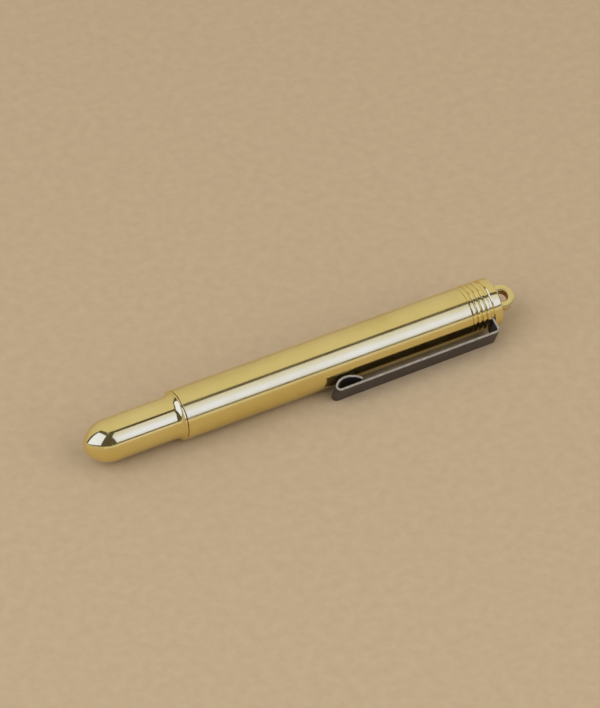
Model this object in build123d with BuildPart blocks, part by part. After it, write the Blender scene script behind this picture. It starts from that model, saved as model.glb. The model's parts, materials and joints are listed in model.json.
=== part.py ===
from build123d import *
from math import acos, asin, atan2, cos, degrees, hypot, radians, sin, sqrt
import os

# A pocket ballpoint pen of turned brass. The closed, domed nose pulls out of the barrel and brings a
# wooden grip, a cone and a refill with it. It is reversed and pushed back in nose first to write.
# The pen lies on a table: the barrel tube and the clip's lower edge both touch Z = 0.
# +X runs from the nose to the lanyard eye, and the clip is on the -Y side.
# Stations along the pen are measured from the nose's tip.

# ---- driving dimensions, mm ----
pen_length = 103.1
tube_d = 11.0
tube_wall = 0.75
nose_d = 9.3
clip_width = 4.85
clip_t = 0.5
clip_gap = 2.42  # free height under the clip's arm, at its curled end
thread_pitch = 0.5
thread_r = 1.5  # of the eye's shank
running_gap = 0.03  # radial clearance of a thread, drawn as a plain cylinder

# ---- stations along the pen ----
flare_start = 19.7
bead_start = 21.25
bead_end = 21.6
tube_start = 21.75
tube_end = 90.4
plug_end = 95.0
washer_end = plug_end + clip_t
disc_end = 97.9
coupler_end = 31.0
grip_end = 66.0
ferrule_end = 67.0
cone_end = 77.0
refill_start = 12.0
refill_end = 79.0  # front of the writing ball

# ---- derived sizes ----
tube_r = tube_d / 2
bore_r = tube_r - tube_wall
nose_r = nose_d / 2
arm_inner_r = tube_r + clip_gap
arm_outer_r = arm_inner_r + clip_t

# The pen is rolled until the clip's lower outer edge is as low as the tube.
clip_corner_r = hypot(arm_outer_r, clip_width / 2)
clip_roll = asin(tube_r / clip_corner_r) - atan2(clip_width / 2, arm_outer_r)
clip_reach_y = arm_outer_r * cos(clip_roll) + clip_width / 2 * sin(clip_roll)
axis_y = (clip_reach_y - tube_r) / 2
tip = Vector(-pen_length / 2, axis_y, tube_r)

# Profiles are drawn in the axial plane: x is the station, y the distance out towards the clip.
axial = Plane(origin=tip, x_dir=(1, 0, 0), z_dir=(0, sin(clip_roll), -cos(clip_roll)))
pen_axis = Axis(tip, (1, 0, 0))
# Cross sections are drawn square to the pen's axis, with their x towards the clip.
across = Plane(origin=tip, x_dir=(0, -cos(clip_roll), -sin(clip_roll)), z_dir=(1, 0, 0))


def finish(piece, name):
    """Labels a finished piece and writes its STEP file."""
    piece.part.label = name
    export_step(piece.part, f"parts/{name}.step")


os.makedirs("parts", exist_ok=True)

# ---- barrel tube: a plain tube with a shallow groove inside its mouth for the friction ring ----
ring_start = 24.0
ring_length = 1.6
ring_r = 4.95
groove_gap = 0.05
edge_break = 0.12

with BuildPart() as barrel_tube:
    with BuildSketch(across.offset(tube_start)):
        Circle(tube_r)
        Circle(bore_r, mode=Mode.SUBTRACT)
    extrude(amount=tube_end - tube_start)
    chamfer(barrel_tube.edges().filter_by(GeomType.CIRCLE), edge_break)
    with BuildSketch(across.offset(ring_start - groove_gap)):
        Circle(ring_r + groove_gap)
    extrude(amount=ring_length + 2 * groove_gap, mode=Mode.SUBTRACT)
finish(barrel_tube, "barrel_tube")

# ---- friction ring: a split spring ring that grips the nose's coupler ----
ring_split = 1.4

with BuildPart() as friction_ring:
    with BuildSketch(across.offset(ring_start)):
        Circle(ring_r)
        Circle(nose_r + running_gap, mode=Mode.SUBTRACT)
        with Locations((-ring_r, 0)):
            Rectangle(1, ring_split, mode=Mode.SUBTRACT)
    extrude(amount=ring_length)
finish(friction_ring, "friction_ring")

# ---- tail plug: crowned ridges between V grooves, a spigot glued into the tube, a tapped blind hole ----
ridge_count = 4
ridge_height = 0.3
ridge_crown = 0.05
ridge_flank = 0.19  # length of one side of a groove
spigot_start = 83.6
spigot_r = bore_r - 0.02  # the glue film
tapped_depth = 6.0
ridge_pitch = (plug_end - tube_end) / ridge_count
groove_r = tube_r - ridge_height
crown_r = tube_r - ridge_crown

with BuildPart() as tail_plug:
    with BuildSketch(axial):
        with BuildLine():
            Polyline(
                (tube_end, groove_r),
                (tube_end, spigot_r),
                (spigot_start, spigot_r),
                (spigot_start, 0),
                (plug_end, 0),
                (plug_end, groove_r),
            )
            for i in range(ridge_count):
                s = tube_end + i * ridge_pitch
                start, end = s + ridge_flank, s + ridge_pitch - ridge_flank
                Line((s, groove_r), (start, crown_r))
                ThreePointArc((start, crown_r), (s + ridge_pitch / 2, tube_r), (end, crown_r))
                Line((end, crown_r), (s + ridge_pitch, groove_r))
        make_face()
    revolve(axis=pen_axis)
    with BuildSketch(across.offset(plug_end)):
        Circle(thread_r + running_gap)
    extrude(amount=-tapped_depth, mode=Mode.SUBTRACT)
finish(tail_plug, "tail_plug")

# ---- clip root: the clip's washer and the straight part of its leg ----
washer_r = 4.6
bend_r = 0.75  # of the strip's centre line, at the leg and at the curl
arm_r = arm_inner_r + clip_t / 2  # where the curl begins
arm_tail_r = arm_r - 0.27
bend_start_r = arm_tail_r - bend_r
shank_hole_r = thread_r + 0.1

with BuildPart() as clip_root:
    with BuildSketch(across.offset(plug_end)):
        Circle(washer_r)
        with Locations((bend_start_r / 2, 0)):
            Rectangle(bend_start_r, clip_width)
        Circle(shank_hole_r, mode=Mode.SUBTRACT)
    extrude(amount=clip_t)
finish(clip_root, "clip_root")

# ---- clip arm: the bend, the long strip, and the end curled back so that it rides on the tube ----
clip_tip = 55.5
curl_crown_r = 3.26
curl_end_r = 4.73
curl_end_turn = 47.7
touch_gap = 0.05
leg_s = plug_end + clip_t / 2
hook_s = clip_tip + clip_t / 2 + bend_r
curl_drop = arm_r - (tube_r + touch_gap + clip_t / 2)
hook_turn = degrees(acos((curl_drop - bend_r - curl_crown_r) / (curl_crown_r - bend_r)))
arm_slope = degrees(atan2(arm_r - arm_tail_r, leg_s - bend_r - hook_s))

with BuildPart() as clip_arm:
    with BuildSketch(axial):
        with BuildLine():
            bend = JernArc((leg_s, bend_start_r), (0, 1), bend_r, 90 - arm_slope)
            strip = Line(bend @ 1, (hook_s, arm_r))
            hook = JernArc(strip @ 1, strip % 1, bend_r, hook_turn + arm_slope)
            crown = JernArc(hook @ 1, hook % 1, curl_crown_r, 180 - hook_turn)
            JernArc(crown @ 1, crown % 1, curl_end_r, curl_end_turn)
        trace(line_width=clip_t)
    extrude(amount=clip_width / 2, both=True)
finish(clip_arm, "clip_arm")

# ---- finial disc: clamps the clip's washer, and its rim closes round it, with a slot for the leg ----
rim_start = plug_end + 0.05
rim_inner_r = washer_r + 0.08
rim_outer_r = groove_r - 0.05
rim_end = washer_end + 0.15
disc_front_chamfer = 0.3
disc_back_round = 0.45
slot_width = clip_width + 0.2

with BuildPart() as finial_disc:
    with BuildSketch(axial):
        with BuildLine():
            Polyline(
                (washer_end, thread_r + groove_gap),
                (washer_end, rim_inner_r),
                (rim_start, rim_inner_r),
                (rim_start, rim_outer_r),
                (rim_end, rim_outer_r),
                (rim_end + disc_front_chamfer, tube_r),
                (disc_end, tube_r),
                (disc_end, thread_r + groove_gap),
                close=True,
            )
        make_face()
    revolve(axis=pen_axis)
    with BuildSketch(across.offset(washer_end)):
        with Locations((tube_r, 0)):
            Rectangle(tube_r, slot_width)
    extrude(amount=rim_start - washer_end, mode=Mode.SUBTRACT)
    back_edges = finial_disc.edges().filter_by(GeomType.CIRCLE).group_by(Axis.X)[-1]
    fillet(back_edges.sort_by(SortBy.RADIUS).last, disc_back_round)
finish(finial_disc, "finial_disc")

# ---- eye screw: a flat ring in the clip's plane, on a low collar and a threaded shank ----
eye_r = 2.8
eye_hole_r = 1.42
eye_t = 1.7
collar_r = 2.5
collar_h = 0.6
eye_turns = 9.75  # until the thread lets go
eye_centre = pen_length - eye_r
eye_shank_start = plug_end - eye_turns * thread_pitch

with BuildPart() as eye_screw:
    with BuildSketch(across.offset(eye_shank_start)):
        Circle(thread_r)
    extrude(amount=disc_end - eye_shank_start)
    with BuildSketch(across.offset(disc_end)):
        Circle(collar_r)
    extrude(amount=collar_h)
    with BuildSketch(axial):
        with Locations((eye_centre, 0)):
            Circle(eye_r)
        with Locations((disc_end, 0)):
            Rectangle(eye_r, 2 * eye_r, align=(Align.MAX, Align.CENTER), mode=Mode.SUBTRACT)
    extrude(amount=eye_t / 2, both=True)
    with BuildSketch(axial):
        with Locations((eye_centre, 0)):
            Circle(eye_hole_r)
    extrude(amount=collar_r, both=True, mode=Mode.SUBTRACT)
finish(eye_screw, "eye_screw")

# ---- bullet nose: ogive dome, plain cylinder, flared bead, and the coupler inside the tube ----
dome_tip_r = 3.0
ogive_r = 6.4
socket_start = 23.0
socket_r = 3.6
refill_bore_r = 1.35
refill_bore_start = 6.0
ogive_s = dome_tip_r + sqrt((ogive_r - dome_tip_r) ** 2 - (ogive_r - nose_r) ** 2)
# Both dome arcs pass through the point in line with their centres.
dome_lean = atan2(ogive_r - nose_r, ogive_s - dome_tip_r)
dome_join = (ogive_s - ogive_r * cos(dome_lean), nose_r - ogive_r + ogive_r * sin(dome_lean))
flare_rise = tube_r - nose_r
flare_r = ((bead_start - flare_start) ** 2 + flare_rise**2) / (2 * flare_rise)

with BuildPart() as bullet_nose:
    with BuildSketch(axial):
        with BuildLine():
            dome = RadiusArc((0, 0), dome_join, dome_tip_r)
            ogive = RadiusArc(dome_join, (ogive_s, nose_r), ogive_r)
            flare = RadiusArc((flare_start, nose_r), (bead_start, tube_r), -flare_r)
            Line(ogive @ 1, flare @ 0)
            Polyline(
                flare @ 1,
                (bead_end, tube_r),
                (bead_end, nose_r),
                (coupler_end, nose_r),
                (coupler_end, socket_r),
                (socket_start, socket_r),
                (socket_start, refill_bore_r),
                (refill_bore_start, refill_bore_r),
                (refill_bore_start, 0),
                (0, 0),
            )
        make_face()
    revolve(axis=pen_axis)
finish(bullet_nose, "bullet_nose")

# ---- wood grip: its tenon is glued into the coupler, its front end tapers to the ferrule ----
grip_r = 4.45
grip_front_r = 4.0
taper_start = 58.0
grip_bore_r = 1.35
ferrule_r = 2.9
ferrule_start = 57.0

with BuildPart() as wood_grip:
    with BuildSketch(axial):
        with BuildLine():
            taper = RadiusArc((taper_start, grip_r), (grip_end, grip_front_r), 72)
            Polyline(
                taper @ 1,
                (grip_end, ferrule_r),
                (ferrule_start, ferrule_r),
                (ferrule_start, grip_bore_r),
                (socket_start, grip_bore_r),
                (socket_start, socket_r),
                (coupler_end, socket_r),
                (coupler_end, grip_r),
                taper @ 0,
            )
        make_face()
    revolve(axis=pen_axis)
finish(wood_grip, "wood_grip")

# ---- front ferrule: flanged brass insert, tapped for the cone ----
cone_thread_r = 2.0
cone_turns = 7.75  # until the thread lets go
cone_shank_start = ferrule_end - cone_turns * thread_pitch
tapped_start = cone_shank_start - 0.5

with BuildPart() as front_ferrule:
    with BuildSketch(axial):
        with BuildLine():
            Polyline(
                (ferrule_start, grip_bore_r),
                (ferrule_start, ferrule_r),
                (grip_end, ferrule_r),
                (grip_end, grip_front_r),
                (ferrule_end, grip_front_r),
                (ferrule_end, cone_thread_r + running_gap),
                (tapped_start, cone_thread_r + running_gap),
                (tapped_start, grip_bore_r),
                close=True,
            )
        make_face()
    revolve(axis=pen_axis)
finish(front_ferrule, "front_ferrule")

# ---- tip cone: screws into the ferrule, and its inner step seats the refill ----
refill_r = 1.175
cone_bore_r = 1.22
cone_tip_r = 1.0
cone_land = 0.8  # short cylinder behind the cone's slope
seat_s = 73.02
step_r = 1.05
step_end = 74.8
cone_hole_r = 0.72

with BuildPart() as tip_cone:
    with BuildSketch(axial):
        with BuildLine():
            Polyline(
                (cone_shank_start, cone_bore_r),
                (cone_shank_start, cone_thread_r),
                (ferrule_end, cone_thread_r),
                (ferrule_end, grip_front_r),
                (ferrule_end + cone_land, grip_front_r),
                (cone_end, cone_tip_r),
                (cone_end, cone_hole_r),
                (step_end, step_r),
                (seat_s, step_r),
                (seat_s, cone_bore_r),
                close=True,
            )
        make_face()
    revolve(axis=pen_axis)
finish(tip_cone, "tip_cone")

# ---- refill: metal tube, nib, ball, ink and a vented tail plug ----
refill_wall = 0.2
nib_start = 70.0
nib_shoulder = 73.0
nib_collar_r = 0.98
nib_collar_end = 74.5
ball_r = 0.4
ball_gap = 0.015
nib_lip_r = 0.46
ball_show = 0.33  # how far the ball stands out of the nib's lip
ink_channel_r = 0.2
vent_r = 0.25
tail_plug_length = 2.5
tube_inner_r = refill_r - refill_wall
nib_lip = refill_end - ball_show
ball_s = refill_end - ball_r
socket_ball_r = ball_r + ball_gap
socket_lip_r = sqrt(socket_ball_r**2 - (nib_lip - ball_s) ** 2)
socket_back = ball_s - sqrt(socket_ball_r**2 - ink_channel_r**2)
ink_start = refill_start + tail_plug_length

with BuildPart() as refill_tube:
    with BuildSketch(across.offset(refill_start)):
        Circle(refill_r)
        Circle(tube_inner_r, mode=Mode.SUBTRACT)
    extrude(amount=nib_shoulder - refill_start)
finish(refill_tube, "refill_tube")

with BuildPart() as refill_nib:
    with BuildSketch(axial):
        with BuildLine():
            socket = RadiusArc((nib_lip, socket_lip_r), (socket_back, ink_channel_r), -socket_ball_r)
            Polyline(
                socket @ 1,
                (nib_start, ink_channel_r),
                (nib_start, tube_inner_r),
                (nib_shoulder, tube_inner_r),
                (nib_shoulder, nib_collar_r),
                (nib_collar_end, nib_collar_r),
                (nib_lip, nib_lip_r),
                socket @ 0,
            )
        make_face()
    revolve(axis=pen_axis)
finish(refill_nib, "refill_nib")

with BuildPart() as writing_ball:
    with Locations(axial.from_local_coords((ball_s, 0, 0))):
        Sphere(ball_r)
finish(writing_ball, "writing_ball")

with BuildPart() as ink_column:
    with BuildSketch(across.offset(ink_start)):
        Circle(tube_inner_r)
    extrude(amount=nib_start - ink_start)
finish(ink_column, "ink_column")

with BuildPart() as refill_tail_plug:
    with BuildSketch(across.offset(refill_start)):
        Circle(tube_inner_r)
        Circle(vent_r, mode=Mode.SUBTRACT)
    extrude(amount=tail_plug_length)
finish(refill_tail_plug, "refill_tail_plug")

# ---- refill spring: presses the refill against the cone's seat ----
spring_wire_r = 0.13
spring_coil_r = 1.0
spring_pitch = 0.95
spring_gap = 0.02
spring_start = refill_bore_start + spring_wire_r + spring_gap
spring_length = refill_start - refill_bore_start - 2 * (spring_wire_r + spring_gap)
spring_foot = axial.from_local_coords((spring_start, 0, 0))

with BuildPart() as refill_spring:
    with BuildLine():
        coil = Helix(spring_pitch, spring_length, spring_coil_r, center=spring_foot, direction=(1, 0, 0))
    with BuildSketch(Plane(origin=coil @ 0, z_dir=coil % 0)):
        Circle(spring_wire_r)
    sweep(path=coil, is_frenet=True)
finish(refill_spring, "refill_spring")
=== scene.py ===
import json
import math
import bmesh
import bpy
from mathutils import Matrix, Vector


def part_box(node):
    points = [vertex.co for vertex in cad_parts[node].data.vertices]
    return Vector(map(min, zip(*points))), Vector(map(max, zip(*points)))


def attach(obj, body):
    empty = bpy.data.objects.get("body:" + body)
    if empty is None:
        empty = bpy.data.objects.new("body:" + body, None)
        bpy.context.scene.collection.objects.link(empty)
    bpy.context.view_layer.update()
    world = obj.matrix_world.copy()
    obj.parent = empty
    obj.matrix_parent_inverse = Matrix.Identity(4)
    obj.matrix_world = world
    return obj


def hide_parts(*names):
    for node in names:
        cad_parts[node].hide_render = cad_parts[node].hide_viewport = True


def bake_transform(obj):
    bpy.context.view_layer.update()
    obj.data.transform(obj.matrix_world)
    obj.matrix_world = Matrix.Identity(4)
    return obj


# The looks of a pocket ballpoint pen of polished brass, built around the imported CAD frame.
# Stations run along the pen's axis from the nose's tip, and radii stand out from it, both in mm.
# The pen lies rolled about its axis, so TOWARD points from the axis to the clip.

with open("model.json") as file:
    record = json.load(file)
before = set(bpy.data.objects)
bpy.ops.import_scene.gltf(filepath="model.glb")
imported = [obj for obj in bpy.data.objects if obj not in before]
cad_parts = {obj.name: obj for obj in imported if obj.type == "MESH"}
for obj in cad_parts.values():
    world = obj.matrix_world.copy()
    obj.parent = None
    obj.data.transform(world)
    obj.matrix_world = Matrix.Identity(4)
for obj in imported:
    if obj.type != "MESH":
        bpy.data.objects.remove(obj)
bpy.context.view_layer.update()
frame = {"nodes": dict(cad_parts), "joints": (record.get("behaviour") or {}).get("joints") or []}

MM = 0.001
SEGMENTS = 192  # around a turned piece
EDGE_STEPS = 4  # in the arc of a broken edge
EDGE_SHARE = 0.7  # how much of a strip's rounding looks like its cut edge
FINE = 0.06  # radius of a broken edge, mm
SHARP = math.radians(28)  # edges that turn further are shaded as creases
FLANK_SLOPE = 2.6  # of a thread; above 2, its root is flat
THREAD_STEPS = 16  # rings per mm of a thread


# ---- the pen's own frame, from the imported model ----

def joint_named(name):
    """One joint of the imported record."""
    return next(joint for joint in frame["joints"] if joint["name"] == name)


tube_low, tube_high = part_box("barrel_tube")
TIP = Vector((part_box("bullet_nose")[0].x, (tube_low.y + tube_high.y) / 2, (tube_low.z + tube_high.z) / 2))
ALONG = Vector((1, 0, 0))
UPWARD = Vector(joint_named("clip_flex")["axis"]).normalized()
TOWARD = ALONG.cross(UPWARD)
PEN = (TIP, ALONG, TOWARD, -UPWARD)


def span(node):
    """First and last station of a CAD node."""
    low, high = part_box(node)
    return (low.x - TIP.x) / MM, (high.x - TIP.x) / MM


def reach(node):
    """Largest radius of a CAD node about the pen's axis, in mm."""
    points = (vertex.co - TIP for vertex in frame["nodes"][node].data.vertices)
    return max(math.hypot(point.y, point.z) for point in points) / MM


def at(station, radius, width=0.0):
    """The point at a station, a distance out towards the clip, and a distance across the clip."""
    return TIP + MM * (station * ALONG + radius * TOWARD + width * UPWARD)


# ---- outlines: lists of (station, radius) ----

def arc(centre, radius, start, end, steps):
    """Points on an arc about a centre, from one angle to another, in degrees."""
    points = []
    for i in range(steps + 1):
        angle = math.radians(start + (end - start) * i / steps)
        points.append((centre[0] + radius * math.cos(angle), centre[1] + radius * math.sin(angle)))
    return points


def round_corner(before, corner, after, radius):
    """The points of a small arc that takes the place of one corner."""
    here = Vector(corner)
    back = (Vector(before) - here).normalized()
    ahead = (Vector(after) - here).normalized()
    inner = math.acos(max(-1.0, min(1.0, back.dot(ahead))))
    if inner > math.radians(178):  # nearly straight
        return [corner]
    cut = radius / math.tan(inner / 2)
    centre = here + (back + ahead).normalized() * radius / math.sin(inner / 2)
    first = here + back * cut - centre
    turn = (math.pi - inner) * (1 if ahead.cross(back) > 0 else -1)
    points = []
    for i in range(EDGE_STEPS + 1):
        arm = first.copy()
        arm.rotate(Matrix.Rotation(turn * i / EDGE_STEPS, 2))
        points.append(tuple(centre + arm))
    return points


def outline(*corners):
    """A loop of points. A corner given as (station, radius, round) is rounded."""
    plain = [corner[:2] for corner in corners]
    points = []
    for i, corner in enumerate(corners):
        if len(corner) == 3:
            points += round_corner(plain[i - 1], corner[:2], plain[(i + 1) % len(plain)], corner[2])
        else:
            points.append(corner)
    return points


# ---- meshes ----

def make_object(name, points, faces, shades=None):
    """A mesh object with outward, area weighted normals. shades gives each face's material slot."""
    mesh = bpy.data.meshes.new(name)
    mesh.from_pydata(points, [], faces)
    if shades:
        mesh.polygons.foreach_set("material_index", shades)
    solid = bmesh.new()
    solid.from_mesh(mesh)
    bmesh.ops.recalc_face_normals(solid, faces=solid.faces)
    solid.to_mesh(mesh)
    solid.free()
    mesh.shade_smooth()
    mesh.set_sharp_from_angle(angle=SHARP)
    piece = bpy.data.objects.new(name, mesh)
    bpy.context.scene.collection.objects.link(piece)
    weighted = piece.modifiers.new("weighted_normals", "WEIGHTED_NORMAL")
    weighted.mode = "FACE_AREA"
    weighted.weight = 50
    weighted.keep_sharp = True
    return piece


def helix_wave(station, turn, start, end, pitch, depth):
    """How far a thread lies below its crest. It fades at both ends."""
    phase = (station / pitch - turn) % 1.0
    flank = min(1.0, abs(phase - 0.5) * FLANK_SLOPE)
    fade = min(1.0, max(0.0, station - start) / pitch, max(0.0, end - station) / pitch)
    return depth * flank * fade


def lathe(name, loop, axes=PEN, segments=SEGMENTS, split=0.0, thread=None):
    """Turns a loop about an axis. Where the loop meets the axis it closes in one point.
    split leaves a gap of that many degrees opposite the clip. thread is (start, end, pitch, depth)."""
    origin, along, first, second = axes
    rows = segments + 1 if split else segments
    sweep = math.radians(360 - split)
    points = []
    rings = []
    for station, radius in loop:
        ring = []
        for i in range(rows if radius > 0 else 1):
            angle = sweep * (i / segments - 0.5)
            out = radius
            if thread and thread[0] < station < thread[1]:
                out -= helix_wave(station, angle / math.tau, *thread)
            ring.append(len(points))
            side = math.cos(angle) * first + math.sin(angle) * second
            points.append(origin + MM * (station * along + out * side))
        rings.append(ring)
    faces = []
    for a, b in zip(rings, rings[1:] + rings[:1]):
        if len(a) == 1 and len(b) == 1:
            continue
        for i in range(segments):
            j = (i + 1) % rows
            face = [a[i % len(a)], b[i % len(b)], b[j % len(b)], a[j % len(a)]]
            faces.append(list(dict.fromkeys(face)))
    if split:
        faces.append([ring[0] for ring in rings])
        faces.append([ring[-1] for ring in reversed(rings)])
    return make_object(name, points, faces)


def walk(start, course, *moves):
    """Places and courses along a path. A move is (length, 0), a run, or (radius, turn), a left-hand arc."""
    place = Vector(start)
    path = [(place.copy(), course)]
    for size, turn in moves:
        if turn == 0:
            place = place + size * Vector((math.cos(course), math.sin(course)))
            path.append((place.copy(), course))
            continue
        centre = place + size * Vector((-math.sin(course), math.cos(course)))
        steps = max(6, round(turn / 5))  # of about 5 degrees, or less in a short arc
        for i in range(1, steps + 1):
            angle = course + math.radians(turn) * i / steps
            place = centre + size * Vector((math.sin(angle), -math.cos(angle)))
            path.append((place.copy(), angle))
        course = angle
    return path


def sweep_strip(name, path, width, thickness, edge):
    """A flat strip along a path of stations and radii. Its cut edges and its ends take material slot 1."""
    half_w, half_t = width / 2, thickness / 2
    section = outline(
        (half_w, -half_t, edge),
        (half_w, half_t, edge),
        (-half_w, half_t, edge),
        (-half_w, -half_t, edge),
    )
    count = len(section)
    points = []
    for place, course in path:
        for across, out in section:
            spot = place + out * Vector((-math.sin(course), math.cos(course)))
            points.append(at(spot.x, spot.y, across))
    faces = []
    shades = []
    for row in range(len(path) - 1):
        for i in range(count):
            j = (i + 1) % count
            faces.append([row * count + i, row * count + j, (row + 1) * count + j, (row + 1) * count + i])
            on_edge = min(abs(section[i][0]), abs(section[j][0])) > half_w - edge * EDGE_SHARE
            shades.append(1 if on_edge else 0)
    faces.append(list(reversed(range(count))))
    faces.append([len(points) - count + i for i in range(count)])
    shades += [1, 1]
    return make_object(name, points, faces, shades)


def combine(piece, other, operation):
    """Fuses a closed mesh into a piece (UNION) or cuts it away (DIFFERENCE), and drops that mesh."""
    change = piece.modifiers.new("combine", "BOOLEAN")
    change.operation = operation
    change.solver = "EXACT"
    change.object = other
    piece.modifiers.move(len(piece.modifiers) - 1, 0)
    bpy.context.view_layer.update()
    depsgraph = bpy.context.evaluated_depsgraph_get()
    result = bpy.data.meshes.new_from_object(piece.evaluated_get(depsgraph))
    result.set_sharp_from_angle(angle=SHARP)
    piece.modifiers.remove(change)
    piece.data = result
    bpy.data.objects.remove(other)
    return piece


# ---- materials ----

class Surface:
    """A procedural material on one Principled shader, read from the piece's own coordinates."""

    def __init__(self, name, **constants):
        self.material = bpy.data.materials.new(name)
        self.material.use_nodes = True
        self.nodes = self.material.node_tree.nodes
        self.links = self.material.node_tree.links
        self.shader = self.nodes["Principled BSDF"]
        self.place = self.nodes.new("ShaderNodeTexCoord").outputs["Object"]
        for socket, value in constants.items():
            self.shader.inputs[socket.replace("_", " ")].default_value = value

    def noise(self, stretch, detail=4.0, roughness=0.55):
        """Noise whose features per metre along X, Y and Z are given by stretch."""
        mapping = self.nodes.new("ShaderNodeMapping")
        mapping.inputs["Scale"].default_value = stretch
        texture = self.nodes.new("ShaderNodeTexNoise")
        texture.inputs["Scale"].default_value = 1.0
        texture.inputs["Detail"].default_value = detail
        texture.inputs["Roughness"].default_value = roughness
        self.links.new(self.place, mapping.inputs["Vector"])
        self.links.new(mapping.outputs["Vector"], texture.inputs["Vector"])
        return texture.outputs["Fac"]

    def ramp(self, value, *stops):
        """Colours at positions along a value."""
        ramp = self.nodes.new("ShaderNodeValToRGB")
        elements = ramp.color_ramp.elements
        while len(elements) < len(stops):
            elements.new(0.5)
        for element, (position, colour) in zip(elements, stops):
            element.position = position
            element.color = (*colour, 1.0)
        self.links.new(value, ramp.inputs["Fac"])
        return ramp.outputs["Color"]

    def spread(self, value, low, high, start=0.3, end=0.7):
        """A value from start to end, spread over low to high."""
        spread = self.nodes.new("ShaderNodeMapRange")
        spread.inputs["From Min"].default_value = start
        spread.inputs["From Max"].default_value = end
        spread.inputs["To Min"].default_value = low
        spread.inputs["To Max"].default_value = high
        self.links.new(value, spread.inputs["Value"])
        return spread.outputs["Result"]

    def mix(self, factor, first, second, kind="MIX"):
        """Two colours mixed by a factor."""
        mix = self.nodes.new("ShaderNodeMix")
        mix.data_type = "RGBA"
        mix.blend_type = kind
        for socket, value in zip((0, 6, 7), (factor, first, second)):
            if isinstance(value, bpy.types.NodeSocket):
                self.links.new(value, mix.inputs[socket])
            else:
                mix.inputs[socket].default_value = value
        return mix.outputs[2]

    def bump(self, height, strength, depth):
        """Relief of a depth in mm."""
        bump = self.nodes.new("ShaderNodeBump")
        bump.inputs["Strength"].default_value = strength
        bump.inputs["Distance"].default_value = depth * MM
        self.links.new(height, bump.inputs["Height"])
        previous = self.shader.inputs["Normal"]
        if previous.is_linked:
            self.links.new(previous.links[0].from_socket, bump.inputs["Normal"])
        self.links.new(bump.outputs["Normal"], self.shader.inputs["Normal"])

    def feed(self, socket, value):
        """Links a value to one of the shader's inputs."""
        self.links.new(value, self.shader.inputs[socket])


def brass(name, marks, low, high):
    """Polished brass. marks is the stretch of its fine tool marks."""
    surface = Surface(name, Metallic=1.0)
    tone_mottle = surface.noise((70, 90, 90), detail=5.0)
    colour = surface.ramp(
        tone_mottle,
        (0.30, (0.800, 0.665, 0.245)),
        (0.52, (0.860, 0.730, 0.290)),
        (0.72, (0.890, 0.765, 0.330)),
    )
    lines = surface.noise(marks, detail=3.0)
    rubbed = surface.noise((160, 420, 420), detail=6.0)
    surface.feed("Base Color", colour)
    surface.feed("Roughness", surface.spread(rubbed, low, high))
    surface.bump(lines, 0.25, 0.004)
    surface.bump(rubbed, 0.10, 0.02)
    return surface.material


def painted_shade_bore_brass():
    """The brass on the wall of the eye's hole: rougher, and painted dark brown as the shade inside the
    hole.
    """
    surface = Surface("bore_painted_shade", Metallic=0.85)
    tone_mottle = surface.noise((900, 900, 900), detail=5.0)
    # painted shade: these dark browns stand in for the shadow inside the eye's hole
    colour = surface.ramp(tone_mottle, (0.3, (0.30, 0.150, 0.050)), (0.7, (0.46, 0.265, 0.095)))
    surface.feed("Base Color", colour)
    surface.feed("Roughness", surface.spread(tone_mottle, 0.32, 0.48))
    return surface.material


def dark_steel():
    """The clip's blackened faces: satin, faintly blotched, with fine rolling marks."""
    surface = Surface("clip_blackened", Metallic=0.85)
    blotch = surface.noise((220, 300, 300), detail=6.0)
    grain = surface.noise((400, 9000, 9000), detail=3.0)
    colour = surface.ramp(
        blotch,
        (0.30, (0.080, 0.070, 0.068)),
        (0.55, (0.120, 0.104, 0.100)),
        (0.75, (0.155, 0.136, 0.130)),
    )
    surface.feed("Base Color", colour)
    surface.feed("Roughness", surface.spread(blotch, 0.34, 0.50))
    surface.bump(grain, 0.35, 0.01)
    return surface.material


def bare_edge():
    """The clip's cut edges, worn to bare steel."""
    surface = Surface("clip_cut_edge", Metallic=0.7)
    wear = surface.noise((900, 1400, 1400), detail=5.0)
    colour = surface.ramp(
        wear,
        (0.32, (0.300, 0.280, 0.235)),
        (0.50, (0.400, 0.378, 0.320)),
        (0.68, (0.480, 0.455, 0.385)),
    )
    surface.feed("Base Color", colour)
    surface.feed("Roughness", surface.spread(wear, 0.20, 0.32))
    surface.bump(wear, 0.3, 0.015)
    return surface.material


def bright_metal(name, dark, light, low=0.18, high=0.32):
    """A plain bright metal with drawing marks along the pen."""
    surface = Surface(name, Metallic=1.0)
    cloud = surface.noise((150, 500, 500), detail=5.0)
    lines = surface.noise((120, 14000, 14000), detail=2.0)
    surface.feed("Base Color", surface.ramp(cloud, (0.35, dark), (0.65, light)))
    surface.feed("Roughness", surface.spread(cloud, low, high))
    surface.bump(lines, 0.3, 0.005)
    return surface.material


def wood():
    """Oiled fine-grained wood, its grain along the pen."""
    surface = Surface("oiled_wood", Coat_Weight=0.12, Coat_Roughness=0.35)
    figure = surface.noise((18, 420, 420), detail=5.0, roughness=0.6)
    fibre = surface.noise((260, 5200, 5200), detail=4.0, roughness=0.65)
    pores = surface.noise((700, 7500, 7500), detail=2.0)
    bands = surface.ramp(
        figure,
        (0.28, (0.205, 0.095, 0.040)),
        (0.46, (0.360, 0.185, 0.085)),
        (0.58, (0.470, 0.265, 0.130)),
        (0.76, (0.300, 0.145, 0.062)),
    )
    fibres = surface.ramp(fibre, (0.30, (0.62, 0.58, 0.55)), (0.62, (1.0, 1.0, 1.0)))
    toned = surface.mix(0.75, bands, fibres, "MULTIPLY")
    specks = surface.ramp(pores, (0.62, (1.0, 1.0, 1.0)), (0.72, (0.45, 0.38, 0.33)))
    surface.feed("Base Color", surface.mix(0.8, toned, specks, "MULTIPLY"))
    surface.feed("Roughness", surface.spread(fibre, 0.42, 0.62))
    surface.bump(fibre, 0.35, 0.03)
    surface.bump(pores, 0.30, 0.03)
    return surface.material


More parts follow.
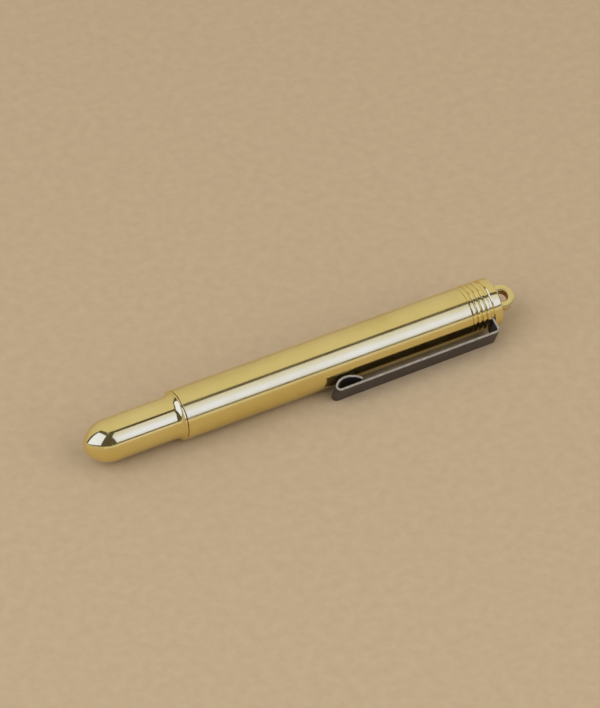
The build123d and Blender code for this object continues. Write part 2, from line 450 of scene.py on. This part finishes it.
def moulded(name, dark, light, low, high):
    """Moulded plastic or ink: soft colour clouds and a faint grain."""
    surface = Surface(name)
    cloud = surface.noise((900, 900, 900), detail=4.0)
    grain = surface.noise((9000, 9000, 9000), detail=2.0)
    surface.feed("Base Color", surface.ramp(cloud, (0.35, dark), (0.65, light)))
    surface.feed("Roughness", surface.spread(grain, low, high))
    surface.bump(grain, 0.3, 0.008)
    return surface.material


def floor_paper():
    """The floor: pale, matt, with hardly any mottle."""
    surface = Surface("floor_paper")
    mottle = surface.noise((420, 420, 420), detail=5.0, roughness=0.6)
    colour = surface.ramp(mottle, (0.30, (0.402, 0.311, 0.193)), (0.70, (0.440, 0.349, 0.222)))
    surface.feed("Base Color", colour)
    surface.feed("Roughness", surface.spread(mottle, 0.82, 0.95))
    return surface.material


ALONG_MARKS = (25, 5200, 5200)
AROUND_MARKS = (8200, 60, 60)
FILED_MARKS = (900, 900, 2600)
DRAWN_BRASS = brass("drawn_brass", ALONG_MARKS, 0.12, 0.17)
TURNED_BRASS = brass("turned_brass", AROUND_MARKS, 0.085, 0.12)
FLAT_BRASS = brass("filed_brass", FILED_MARKS, 0.16, 0.22)
# brass painted dark with the shade inside the eye's hole
BORE_PAINTED_SHADE = painted_shade_bore_brass()
CLIP_FACE = dark_steel()
CLIP_EDGE = bare_edge()
SPRING_STEEL = bright_metal("spring_steel", (0.42, 0.41, 0.40), (0.58, 0.57, 0.55))
REFILL_METAL = bright_metal("refill_metal", (0.60, 0.57, 0.50), (0.72, 0.69, 0.62))
NIB_METAL = bright_metal("nib_metal", (0.66, 0.60, 0.48), (0.78, 0.73, 0.60), 0.14, 0.25)
BALL_CARBIDE = bright_metal("ball_carbide", (0.30, 0.30, 0.31), (0.42, 0.42, 0.44), 0.10, 0.20)
WOOD = wood()
PLUG_PLASTIC = moulded("plug_plastic", (0.62, 0.61, 0.57), (0.74, 0.73, 0.69), 0.35, 0.5)
INK = moulded("ink", (0.004, 0.004, 0.006), (0.010, 0.010, 0.016), 0.10, 0.2)


def dress(piece, body, slot, nodes, *materials):
    """Gives a piece its materials and the body it rides on, and hides the CAD nodes it replaces. The slot
    is not used.
    """
    for material in materials:
        piece.data.materials.append(material)
    if body:
        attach(piece, body)
    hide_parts(*nodes)


# ---- barrel ----

TUBE_R = reach("barrel_tube")
TUBE_START, TUBE_END = span("barrel_tube")
TUBE_WALL = 0.75
BORE_R = TUBE_R - TUBE_WALL
RING_START, RING_END = span("friction_ring")
RING_R = reach("friction_ring")
NOSE_R = 4.65
SLIDE_GAP = 0.03  # between the coupler and the ring
RING_SPLIT = 1.4
GROOVE_GAP = 0.05


def make_tube():
    """The drawn tube, with broken edges and the friction ring's groove."""
    groove_r = RING_R + GROOVE_GAP
    loop = outline(
        (TUBE_START, TUBE_R, 0.12),
        (TUBE_END, TUBE_R, 0.10),
        (TUBE_END, BORE_R, FINE),
        (RING_END + GROOVE_GAP, BORE_R),
        (RING_END + GROOVE_GAP, groove_r),
        (RING_START - GROOVE_GAP, groove_r),
        (RING_START - GROOVE_GAP, BORE_R),
        (TUBE_START, BORE_R, 0.12),
    )
    dress(lathe("tube", loop), "barrel", "polished_brass", ["barrel_tube"], DRAWN_BRASS)


def make_friction_ring():
    """The split spring ring inside the tube's mouth."""
    inner = NOSE_R + SLIDE_GAP
    loop = outline(
        (RING_START, inner, FINE),
        (RING_START, RING_R, FINE),
        (RING_END, RING_R, FINE),
        (RING_END, inner, FINE),
    )
    ring = lathe("split_ring", loop, split=math.degrees(RING_SPLIT / RING_R))
    dress(ring, "friction_ring", "spring_steel", ["friction_ring"], SPRING_STEEL)


# ---- tail: plug, finial disc and eye screw ----

RIDGES = 4
RIDGE_HEIGHT = 0.3
RIDGE_CROWN = 0.05  # how far a ridge bulges
RIDGE_FLANK = 0.19
GROOVE_R = TUBE_R - RIDGE_HEIGHT
PLUG_START, PLUG_END = span("tail_plug")
DISC_START, DISC_END = span("finial_disc")
EYE_START, EYE_END = span("eye_screw")
SHANK_R = 1.5  # of the eye's thread
THREAD_PITCH = 0.5
THREAD_DEPTH = 0.28
THREAD_GAP = 0.03
GLUE_GAP = 0.02
CLIP_WIDTH = 4.85
CLIP_T = 0.5
WASHER_R = 4.6


def make_tail_plug():
    """The plug, with crowned ridges and V grooves outside the tube and a spigot inside it."""
    pitch = (PLUG_END - TUBE_END) / RIDGES
    half_crown = pitch / 2 - RIDGE_FLANK
    crown_r = (half_crown**2 + RIDGE_CROWN**2) / (2 * RIDGE_CROWN)
    half = math.degrees(math.asin(half_crown / crown_r))
    chamfer = 0.3
    hole_r = SHANK_R + THREAD_GAP
    hole_depth = 6.0
    spigot_r = BORE_R - GLUE_GAP
    loop = [(PLUG_START, 0), (PLUG_START, BORE_R - chamfer), (PLUG_START + chamfer, spigot_r)]
    loop += [(TUBE_END, spigot_r)]
    for i in range(RIDGES):
        start = TUBE_END + i * pitch
        loop += [(start, GROOVE_R)]
        loop += arc((start + pitch / 2, TUBE_R - crown_r), crown_r, 90 + half, 90 - half, 6)
    loop += [
        (PLUG_END, GROOVE_R),
        (PLUG_END, hole_r),
        (PLUG_END - hole_depth, hole_r),
        (PLUG_END - hole_depth, 0),
    ]
    dress(lathe("ridged_plug", loop), "barrel", "polished_brass", ["tail_plug"], TURNED_BRASS)


def make_finial():
    """The disc that clamps the clip, with a low rim about the clip's washer and a slot for its leg."""
    clamp = PLUG_END + CLIP_T
    hole_r = SHANK_R + GROOVE_GAP
    rim_inner = WASHER_R + 0.08
    rim_outer = GROOVE_R - GROOVE_GAP
    rim_round = 0.04
    step = clamp + 0.15
    chamfer = 0.18
    loop = outline(
        (clamp, hole_r, FINE),
        (clamp, rim_inner),
        (DISC_START, rim_inner, rim_round),
        (DISC_START, rim_outer, rim_round),
        (step, rim_outer),
        (step, TUBE_R - chamfer, FINE),
        (step + chamfer, TUBE_R, FINE),
        (DISC_END, TUBE_R, 0.45),
        (DISC_END, hole_r, FINE),
    )
    finial = lathe("finial", loop)
    slot_half = CLIP_WIDTH / 2 + 0.1
    low, high = DISC_START - 0.3, clamp + 0.01
    near, far = rim_inner - 0.9, TUBE_R + 1
    corners = [at(s, r, w) for s in (low, high) for r in (near, far) for w in (-slot_half, slot_half)]
    sides = [(0, 1, 3, 2), (4, 6, 7, 5), (0, 4, 5, 1), (2, 3, 7, 6), (0, 2, 6, 4), (1, 5, 7, 3)]
    slot = make_object("slot", corners, sides)
    combine(finial, slot, "DIFFERENCE")
    dress(finial, "finial_disc", "polished_brass", ["finial_disc"], TURNED_BRASS)


def thread_crest(start, end, radius):
    """Rings close enough together to show a thread."""
    return [(start + i / THREAD_STEPS, radius) for i in range(round((end - start) * THREAD_STEPS))]


def make_eye_screw():
    """The flat eye, its collar and its threaded shank, as one solid."""
    eye_r = 2.8
    hole_r = 1.42
    thickness = 1.7
    collar_r = 2.5
    collar_start = DISC_END + 0.001
    collar_end = DISC_END + 0.6
    chamfer = 0.4
    stem_loop = [(EYE_START, 0), (EYE_START, SHANK_R - chamfer)]
    stem_loop += thread_crest(EYE_START + chamfer, DISC_END, SHANK_R)
    stem_loop += outline(
        (collar_start, SHANK_R),
        (collar_start, collar_r, FINE),
        (collar_end, collar_r, 0.15),
        (collar_end, 0),
    )
    thread = (EYE_START + 0.3, DISC_START, THREAD_PITCH, THREAD_DEPTH)
    stem = lathe("eye", stem_loop, segments=SEGMENTS // 2, thread=thread)
    middle = at(EYE_END - eye_r, 0)
    ring_loop = outline(
        (-thickness / 2, hole_r, FINE),
        (-thickness / 2, eye_r, 0.08),
        (thickness / 2, eye_r, 0.08),
        (thickness / 2, hole_r, FINE),
    )
    through = (middle, UPWARD, ALONG, TOWARD)
    ring = lathe("eye_ring", ring_loop, through, SEGMENTS // 2)
    eye = combine(stem, ring, "UNION")
    for face in eye.data.polygons:  # the wall of the hole is rougher and painted dark with shade
        place = face.center - middle
        in_bore = (place - place.dot(UPWARD) * UPWARD).length < (hole_r + 0.01) * MM
        face.material_index = 1 if in_bore and place.dot(ALONG) > -hole_r * MM else 0
    # the hole's wall takes the brass painted with shade
    dress(eye, "eye_screw", "polished_brass", ["eye_screw"], FLAT_BRASS, BORE_PAINTED_SHADE)


# ---- clip ----

CLIP_GAP = 2.42  # under the arm, at the curl
ARM_DROP = 0.27  # how much closer the arm is at the leg
BEND_R = 0.75
CLIP_TIP = span("clip_arm")[0]
ARM_R = TUBE_R + CLIP_GAP + CLIP_T / 2  # at the curl
ARM_TAIL_R = ARM_R - ARM_DROP
LEG_STATION = PLUG_END + CLIP_T / 2


def make_clip():
    """A washer under the finial, and the strip that bends over, runs along the tube and curls back."""
    crown_r = 3.26
    end_r = 4.73
    end_turn = 47.7
    hole_r = SHANK_R + 0.1
    drop = ARM_R - (TUBE_R + GROOVE_GAP + CLIP_T / 2)
    hook_turn = math.degrees(math.acos((drop - BEND_R - crown_r) / (crown_r - BEND_R)))
    flat = math.sqrt(WASHER_R**2 - (CLIP_WIDTH / 2) ** 2)
    hook_station = CLIP_TIP + CLIP_T / 2 + BEND_R
    arm_length = LEG_STATION - BEND_R - hook_station
    slope = math.degrees(math.atan2(ARM_DROP, arm_length))
    path = walk(
        (LEG_STATION, flat),
        math.pi / 2,
        (ARM_TAIL_R - BEND_R - flat, 0),
        (BEND_R, 90 - slope),
        (math.hypot(arm_length, ARM_DROP), 0),
        (BEND_R, hook_turn + slope),
        (crown_r, 180 - hook_turn),
        (end_r, end_turn),
    )
    strip = sweep_strip("clip_strip", path, CLIP_WIDTH, CLIP_T, edge=0.05)
    dress(strip, None, "clip_steel", ["clip_arm"], CLIP_FACE, CLIP_EDGE)
    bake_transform(strip)

    washer_loop = outline(
        (PLUG_END, hole_r, FINE),
        (PLUG_END, WASHER_R, FINE),
        (PLUG_END + CLIP_T, WASHER_R, FINE),
        (PLUG_END + CLIP_T, hole_r, FINE),
    )
    washer = lathe("clip_washer", washer_loop)
    for vertex in washer.data.vertices:  # cut straight where the leg starts
        past = (vertex.co - TIP).dot(TOWARD) - flat * MM
        if past > 0:
            vertex.co -= past * TOWARD
    dress(washer, "barrel", "clip_steel", ["clip_root"], CLIP_FACE)


# ---- pen unit: nose, wooden grip, ferrule and spring ----

COUPLER_END = span("bullet_nose")[1]
SOCKET_START, GRIP_END = span("wood_grip")
FERRULE_START, FERRULE_END = span("front_ferrule")
CONE_SHANK_START, CONE_END = span("tip_cone")
REFILL_START = span("refill_tube")[0]
SPRING_START, SPRING_END = span("refill_spring")
SOCKET_R = 3.6
REFILL_BORE_R = 1.35
FERRULE_R = 2.9
CONE_THREAD_R = 2.0
GRIP_R = reach("wood_grip")
GRIP_FRONT_R = reach("front_ferrule")


def make_nose():
    """The domed nose, its flare and bead, and the coupler that slides in the tube."""
    tip_r = 3.0
    ogive_r = 6.4
    seam_gap = 0.15
    bead = 0.35
    flare = 1.55
    bead_end = TUBE_START - seam_gap
    bead_start = bead_end - bead
    flare_start = bead_start - flare
    ogive_station = tip_r + math.sqrt((ogive_r - tip_r) ** 2 - (ogive_r - NOSE_R) ** 2)
    lean = math.degrees(math.atan2(ogive_r - NOSE_R, ogive_station - tip_r))
    spring_seat = SPRING_START - 0.15  # just short of the spring
    rise = TUBE_R - NOSE_R
    flare_r = (flare**2 + rise**2) / (2 * rise)
    flare_turn = math.degrees(math.asin(flare / flare_r))
    loop = arc((tip_r, 0), tip_r, 180, 180 - lean, 14)[:-1]
    loop[0] = (0, 0)
    loop += arc((ogive_station, NOSE_R - ogive_r), ogive_r, 180 - lean, 90, 40)
    loop += arc((flare_start, NOSE_R + flare_r), flare_r, -90, -90 + flare_turn, 14)[:-1]
    loop += outline(
        (bead_start, TUBE_R, 0.05),
        (bead_end, TUBE_R, 0.08),
        (bead_end, NOSE_R, FINE),
        (COUPLER_END, NOSE_R, 0.15),
        (COUPLER_END, SOCKET_R, FINE),
        (SOCKET_START, SOCKET_R),
        (SOCKET_START, REFILL_BORE_R),
        (spring_seat, REFILL_BORE_R),
        (spring_seat, 0),
    )
    dress(lathe("nose", loop), "pen_unit", "polished_brass", ["bullet_nose"], TURNED_BRASS)


def make_grip():
    """The wooden grip, tapered in front, with its tenon in the nose's coupler."""
    taper_start = 58.0
    taper_r = 72.0
    drop = GRIP_R - GRIP_FRONT_R
    run = GRIP_END - taper_start
    chord = math.hypot(run, drop)
    middle = Vector((taper_start + run / 2, GRIP_R - drop / 2))
    inward = Vector((-drop, -run)) / chord
    centre = middle + inward * math.sqrt(taper_r**2 - (chord / 2) ** 2)
    first = math.degrees(math.atan2(GRIP_R - centre.y, taper_start - centre.x))
    last = math.degrees(math.atan2(GRIP_FRONT_R - centre.y, GRIP_END - centre.x))
    loop = outline(
        (SOCKET_START, REFILL_BORE_R),
        (SOCKET_START, SOCKET_R, 0.2),
        (COUPLER_END, SOCKET_R),
        (COUPLER_END, GRIP_R, 0.12),
    )
    loop += arc(centre, taper_r, first, last, 16)
    loop += [(GRIP_END, FERRULE_R), (FERRULE_START, FERRULE_R), (FERRULE_START, REFILL_BORE_R)]
    dress(lathe("grip", loop), "pen_unit", "grip_wood", ["wood_grip"], WOOD)


def make_ferrule():
    """The flanged insert at the grip's front end."""
    thread_r = CONE_THREAD_R + THREAD_GAP
    thread_end = CONE_SHANK_START - 0.5  # just past the shank
    loop = outline(
        (FERRULE_START, REFILL_BORE_R, FINE),
        (FERRULE_START, FERRULE_R, FINE),
        (GRIP_END, FERRULE_R),
        (GRIP_END, GRIP_FRONT_R, FINE),
        (FERRULE_END, GRIP_FRONT_R, FINE),
        (FERRULE_END, thread_r, FINE),
        (thread_end, thread_r),
        (thread_end, REFILL_BORE_R),
    )
    dress(lathe("ferrule", loop), "pen_unit", "polished_brass", ["front_ferrule"], TURNED_BRASS)


def make_cone():
    """The tip cone on its threaded shank."""
    bore_r = 1.22
    nib_bore_r = 1.05
    hole_r = 0.72
    mouth_r = 1.0
    bore_step = 73.02
    bore_taper = 74.8
    shoulder = FERRULE_END + 0.8
    chamfer = 0.25
    loop = [(CONE_SHANK_START, bore_r), (CONE_SHANK_START, CONE_THREAD_R - chamfer)]
    loop += thread_crest(CONE_SHANK_START + 0.2, FERRULE_END - 0.1, CONE_THREAD_R)
    loop += outline(
        (FERRULE_END, CONE_THREAD_R),
        (FERRULE_END, GRIP_FRONT_R, FINE),
        (shoulder, GRIP_FRONT_R, 0.12),
        (CONE_END, mouth_r, 0.10),
        (CONE_END, hole_r, FINE),
        (bore_taper, nib_bore_r),
        (bore_step, nib_bore_r),
        (bore_step, bore_r),
    )
    thread = (CONE_SHANK_START + 0.1, FERRULE_END - 0.3, THREAD_PITCH, THREAD_DEPTH)
    cone = lathe("cone", loop, thread=thread)
    dress(cone, "tip_cone", "polished_brass", ["tip_cone"], TURNED_BRASS)


def make_spring():
    """The coil spring behind the refill."""
    wire_r = 0.13
    coil_r = 1.0
    turns = 6
    steps = 40
    sides = 12
    start = SPRING_START + wire_r
    length = SPRING_END - SPRING_START - 2 * wire_r
    points = []
    faces = []
    count = turns * steps
    for i in range(count + 1):
        angle = math.tau * i / steps
        out = math.cos(angle) * TOWARD + math.sin(angle) * UPWARD
        centre = at(start + length * i / count, 0) + MM * coil_r * out
        for j in range(sides):
            turn = math.tau * j / sides
            points.append(centre + MM * wire_r * (math.cos(turn) * out + math.sin(turn) * ALONG))
    for i in range(count):
        for j in range(sides):
            k = (j + 1) % sides
            faces.append([i * sides + j, i * sides + k, (i + 1) * sides + k, (i + 1) * sides + j])
    faces.append(list(reversed(range(sides))))
    faces.append([count * sides + j for j in range(sides)])
    spring = make_object("spring", points, faces)
    dress(spring, None, "spring_steel", ["refill_spring"], SPRING_STEEL)
    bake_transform(spring)


# ---- refill ----

REFILL_R = reach("refill_tube")
REFILL_WALL = 0.2
REFILL_BORE = REFILL_R - REFILL_WALL
NIB_START = span("refill_nib")[0]
NIB_SHOULDER = span("refill_tube")[1]
BALL_R = 0.4
BALL_STATION = span("writing_ball")[1] - BALL_R


def make_refill():
    """The refill's tube, nib, ball, ink and vented plug."""
    tube_loop = outline(
        (REFILL_START, REFILL_BORE, FINE),
        (REFILL_START, REFILL_R, FINE),
        (NIB_SHOULDER, REFILL_R, FINE),
        (NIB_SHOULDER, REFILL_BORE, FINE),
    )
    body = lathe("refill_body", tube_loop, segments=SEGMENTS // 2)
    dress(body, "refill", "refill_metal", ["refill_tube"], REFILL_METAL)

    ball_shows = 0.33
    socket_r = BALL_R + 0.015
    feed_r = 0.2
    nib_r = 0.98
    nib_taper = 74.5
    lip_r = 0.46
    lip = BALL_STATION + BALL_R - ball_shows
    lip_turn = math.degrees(math.acos((lip - BALL_STATION) / socket_r))
    back_turn = math.degrees(math.asin(feed_r / socket_r))
    nib_loop = outline(
        (NIB_START, feed_r),
        (NIB_START, REFILL_BORE, FINE),
        (NIB_SHOULDER, REFILL_BORE),
        (NIB_SHOULDER, nib_r, 0.03),
        (nib_taper, nib_r, 0.1),
        (lip, lip_r),
    )
    nib_loop += arc((BALL_STATION, 0), socket_r, lip_turn, 180 - back_turn, 10)
    dress(lathe("nib", nib_loop, segments=SEGMENTS // 2), "refill", "nib_metal", ["refill_nib"], NIB_METAL)

    ball_loop = arc((BALL_STATION, 0), BALL_R, 180, 0, 24)
    ball_loop[0] = (BALL_STATION - BALL_R, 0)
    ball_loop[-1] = (BALL_STATION + BALL_R, 0)
    ball = lathe("ball", ball_loop, segments=SEGMENTS // 4)
    dress(ball, "writing_ball", "ball_carbide", ["writing_ball"], BALL_CARBIDE)

    ink_start, ink_end = span("ink_column")
    hollow = 0.25  # depth of the ink's free surface in the middle
    rim_hollow = 0.08
    ink_loop = [(ink_start + hollow, 0), (ink_start + rim_hollow, REFILL_BORE * 0.7)]
    ink_loop += [(ink_start, REFILL_BORE)]
    ink_loop += [(ink_end, REFILL_BORE), (ink_end, 0)]
    dress(lathe("ink", ink_loop, segments=SEGMENTS // 4), "refill", "ink_black", ["ink_column"], INK)

    plug_start, plug_end = span("refill_tail_plug")
    vent_r = 0.25
    plug_loop = outline(
        (plug_start, vent_r, 0.05),
        (plug_start, REFILL_BORE, 0.1),
        (plug_end, REFILL_BORE, 0.1),
        (plug_end, vent_r, 0.05),
    )
    plug = lathe("vented_plug", plug_loop, segments=SEGMENTS // 4)
    dress(plug, "refill", "plug_plastic", ["refill_tail_plug"], PLUG_PLASTIC)


# ---- floor, lights and camera ----

MIDDLE = at(50, 0)  # about half way along


def heading(azimuth, elevation):
    """A direction: azimuth turns from -Y towards -X, elevation is above the floor, in degrees."""
    a = math.radians(azimuth)
    e = math.radians(elevation)
    return Vector((-math.cos(e) * math.sin(a), -math.cos(e) * math.cos(a), math.sin(e)))


def beam(x, lift):
    """A direction with a given share along X, turned up from -Y (0) over the zenith (90 degrees)."""
    rest = math.sqrt(1 - x * x)
    turn = math.radians(lift)
    return Vector((x, -math.cos(turn) * rest, math.sin(turn) * rest))


def facing(direction, distance):
    """A place that far off in a direction, its -Z turned back to the pen."""
    away = direction.normalized()
    right = Vector((0, 0, 1)).cross(away).normalized()
    up = away.cross(right)
    return Matrix.Translation(MIDDLE + distance * away) @ Matrix((right, up, away)).transposed().to_4x4()


def add_light(name, direction, width, height, radiance, colour):
    """A soft light for the matt surfaces. The brass mirrors the glowing panels instead."""
    data = bpy.data.lights.new(name, "AREA")
    data.shape = "RECTANGLE"
    data.size = width
    data.size_y = height
    data.energy = radiance * math.pi * width * height
    data.color = colour
    light = bpy.data.objects.new(name, data)
    bpy.context.scene.collection.objects.link(light)
    light.matrix_world = facing(direction, PANEL_FAR)
    light.visible_camera = False
    light.visible_glossy = False


def add_panel(name, rows, distance, material):
    """A curved panel that only reflections see. Each row is (first direction, last direction, glow)."""
    columns = 12
    points = []
    glows = []
    for first, last, glow in rows:
        for i in range(columns + 1):
            points.append(MIDDLE + distance * first.lerp(last, i / columns).normalized())
            glows += [*glow, 1.0]
    faces = []
    for row in range(len(rows) - 1):
        for i in range(columns):
            corner = row * (columns + 1) + i
            faces.append((corner, corner + 1, corner + columns + 2, corner + columns + 1))
    mesh = bpy.data.meshes.new(name)
    mesh.from_pydata(points, [], faces)
    mesh.color_attributes.new("glow", "FLOAT_COLOR", "POINT").data.foreach_set("color", glows)
    mesh.materials.append(material)
    panel = bpy.data.objects.new(name, mesh)
    bpy.context.scene.collection.objects.link(panel)
    panel.visible_camera = False
    panel.visible_diffuse = False
    panel.visible_shadow = False


def between(first, last, share):
    """The direction a share of the way from one direction to another."""
    return first.lerp(last, share).normalized()


def panel_glow():
    """A panel's own light, from its glow colours, faintly uneven like cloth."""
    surface = Surface("panel_glow", Roughness=0.9, Emission_Strength=1.0)
    attribute = surface.nodes.new("ShaderNodeAttribute")
    attribute.attribute_name = "glow"
    cloth = surface.noise((5, 5, 5), detail=3.0)
    weave = surface.ramp(cloth, (0.3, (0.97, 0.97, 0.97)), (0.7, (1.0, 1.0, 1.0)))
    backing = surface.ramp(cloth, (0.3, (0.001, 0.001, 0.001)), (0.7, (0.002, 0.002, 0.002)))
    surface.feed("Emission Color", surface.mix(1.0, attribute.outputs["Color"], weave, "MULTIPLY"))
    surface.feed("Base Color", backing)
    return surface.material


WHITE = (0.87, 1.01, 2.30)  # blue enough to look white in brass
WHITE_EDGE = (0.80, 0.88, 1.75)
TURNING = (0.78, 0.85, 1.55)
CREAM = (0.75, 0.79, 1.25)
WINDOW = (0.94, 1.09, 2.45)
DARK = (0.09, 0.08, 0.075)
PALE = (0.68, 0.62, 0.64)
PANEL_STEPS = 8
PANEL_FAR = 1.0  # metres; the cards stand farther off


def level_rows(left, right, lifts, glow):
    """Rows of one colour between two shares along X, at each lift."""
    return [(beam(left, lift), beam(right, lift), glow) for lift in lifts]


def leaning_rows(low_left, high_left, low_right, high_right, glow):
    """Rows of one colour between four directions."""
    rows = []
    for i in range(PANEL_STEPS + 1):
        share = i / PANEL_STEPS
        rows.append((between(low_left, high_left, share), between(low_right, high_right, share), glow))
    return rows


def add_front(glow):
    """The panel in front and overhead, whose left end narrows, its dark cards, and a pale wall below."""
    right = 0.8
    rows = [
        (beam(0.20, 18), beam(right, 18), TURNING),
        (beam(0.19, 22), beam(right, 22), WHITE_EDGE),
        (beam(0.17, 26), beam(right, 26), WHITE),
        (beam(0.10, 42), beam(right, 42), WHITE),
        (beam(0.00, 54), beam(right, 54), TURNING),
        (beam(0.18, 66), beam(right, 66), CREAM),
        (beam(0.23, 70.5), beam(right, 70.5), CREAM),
    ]
    add_panel("front_panel", rows, PANEL_FAR, glow)
    card_left, card_right = -0.12, 0.95
    low_card = level_rows(card_left, card_right, (11.5, 24, 36, 48, 60), DARK)
    high_card = level_rows(card_left, card_right, (60, 71, 82.5), DARK)
    wall = level_rows(-0.6, card_right, (0.5, 6, 12), PALE)
    add_panel("front_low_card", low_card, PANEL_FAR + 0.03, glow)
    add_panel("front_high_card", high_card, PANEL_FAR + 0.03, glow)
    add_panel("front_wall", wall, PANEL_FAR + 0.06, glow)


def add_window(glow):
    """The window to the left, the dark card around it and another above it."""
    low_left, high_left = heading(116, 4), heading(127, 53)
    low_right, high_right = heading(53, 18), heading(46, 65)
    panel = leaning_rows(low_left, high_left, low_right, high_right, WINDOW)
    add_panel("window_panel", panel, PANEL_FAR, glow)
    low_left, high_left = heading(128, 0.5), heading(142, 60)
    low_right, high_right = heading(8, 10), heading(8, 62)
    card = leaning_rows(low_left, high_left, low_right, high_right, DARK)
    add_panel("window_card", card, PANEL_FAR + 0.05, glow)
    low_edge = (heading(127, 52), heading(46, 64), DARK)
    high_edge = (heading(127, 72), heading(46, 80), DARK)
    add_panel("window_top_card", [low_edge, high_edge], PANEL_FAR + 0.04, glow)


def add_lights():
    """The panels and cards that the metal mirrors, and two soft lights for everything else."""
    glow = panel_glow()
    add_front(glow)
    add_window(glow)
    add_light("front_light", beam(0.5, 42), 1.0, 0.9, 1.7, (1.0, 0.98, 0.95))
    add_light("window_light", heading(85, 38), 1.1, 1.0, 2.0, (1.0, 0.99, 0.97))


def add_world():
    """Pale warm walls, lighter overhead."""
    world = bpy.data.worlds.new("studio")
    world.use_nodes = True
    nodes = world.node_tree.nodes
    links = world.node_tree.links
    background = nodes["Background"]
    place = nodes.new("ShaderNodeTexCoord")
    axes = nodes.new("ShaderNodeSeparateXYZ")
    ramp = nodes.new("ShaderNodeValToRGB")
    elements = ramp.color_ramp.elements
    elements[0].position = 0.0
    elements[0].color = (0.54, 0.47, 0.41, 1)
    elements[1].position = 0.95
    elements[1].color = (0.69, 0.64, 0.58, 1)
    links.new(place.outputs["Generated"], axes.inputs["Vector"])
    links.new(axes.outputs["Z"], ramp.inputs["Fac"])
    links.new(ramp.outputs["Color"], background.inputs["Color"])
    bpy.context.scene.world = world


def add_floor():
    """A plain pale floor."""
    half = 3.0
    corners = [(-half, -half, 0), (half, -half, 0), (half, half, 0), (-half, half, 0)]
    mesh = bpy.data.meshes.new("floor")
    mesh.from_pydata(corners, [], [(0, 1, 2, 3)])
    mesh.materials.append(floor_paper())
    floor = bpy.data.objects.new("floor", mesh)
    bpy.context.scene.collection.objects.link(floor)


def add_camera():
    """A long lens from the front left, well above the pen."""
    yaw = math.radians(28.58)
    elevation = math.radians(41.53)
    distance = 1.0287
    level = math.cos(elevation)
    back = Vector((-math.sin(yaw) * level, -math.cos(yaw) * level, math.sin(elevation)))
    right = Vector((math.cos(yaw), -math.sin(yaw), 0))
    up = back.cross(right)
    data = bpy.data.cameras.new("camera")
    data.lens = 247.1
    data.sensor_width = 36.0
    data.clip_start = 0.05
    data.clip_end = 20.0
    camera = bpy.data.objects.new("camera", data)
    bpy.context.scene.collection.objects.link(camera)
    shift = 0.90 * right + 3.89 * up  # mm, for the pen's place in the picture
    place = MIDDLE + distance * back + MM * shift
    camera.matrix_world = Matrix.Translation(place) @ Matrix((right, up, back)).transposed().to_4x4()
    bpy.context.scene.camera = camera


make_tube()
make_friction_ring()
make_tail_plug()
make_finial()
make_eye_screw()
make_clip()
make_nose()
make_grip()
make_ferrule()
make_cone()
make_spring()
make_refill()
add_floor()
add_world()
add_lights()
add_camera()
bpy.context.scene.view_settings.view_transform = "Standard"
